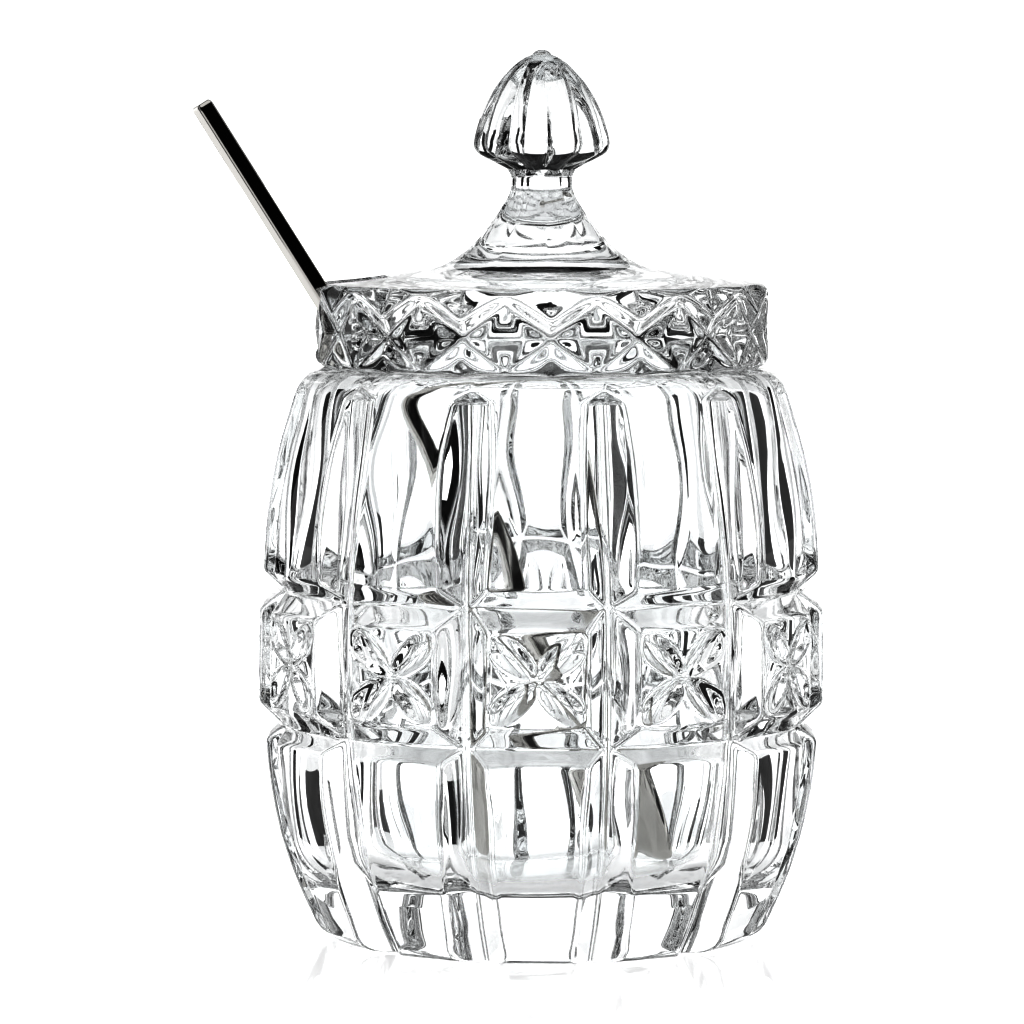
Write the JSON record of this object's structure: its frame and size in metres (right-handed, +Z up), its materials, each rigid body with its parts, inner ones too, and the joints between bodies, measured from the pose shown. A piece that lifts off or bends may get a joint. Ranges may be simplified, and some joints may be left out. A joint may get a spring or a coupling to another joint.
{
  "type": "honey jar with loose lid and spoon",
  "caption": "Clear cut-crystal honey jar: panelled barrel with mitre and leaf cuts, lift-off star-cut lid with a lobed knob and a spoon slot, and a steel spoon.",
  "frame": {"origin": "on the jar's axis at the flat underside of its base", "axes": "+Z up along the jar's axis, -Y the side towards the viewer, the spoon leans out to -X"},
  "size_m": [0.0996, 0.0898, 0.14],
  "materials": {
    "jar_crystal": "polished clear lead crystal",
    "lid_crystal": "polished clear lead crystal",
    "spoon_steel": "mirror-polished stainless steel"
  },
  "bodies": {
    "jar": {"jar": "jar_crystal"},
    "lid": {"lid": "lid_crystal"},
    "spoon": {"spoon": "spoon_steel"}
  },
  "joints": [
    {"name": "lid_lift", "type": "slide", "parent": "jar", "child": "lid", "axis": [0, 0, 1], "range_m": [0, 0.06]},
    {"name": "spoon_draw", "type": "slide", "parent": "jar", "child": "spoon", "axis": [-0.527, -0.0554, 0.848], "range_m": [0, 0.045]}
  ]
}
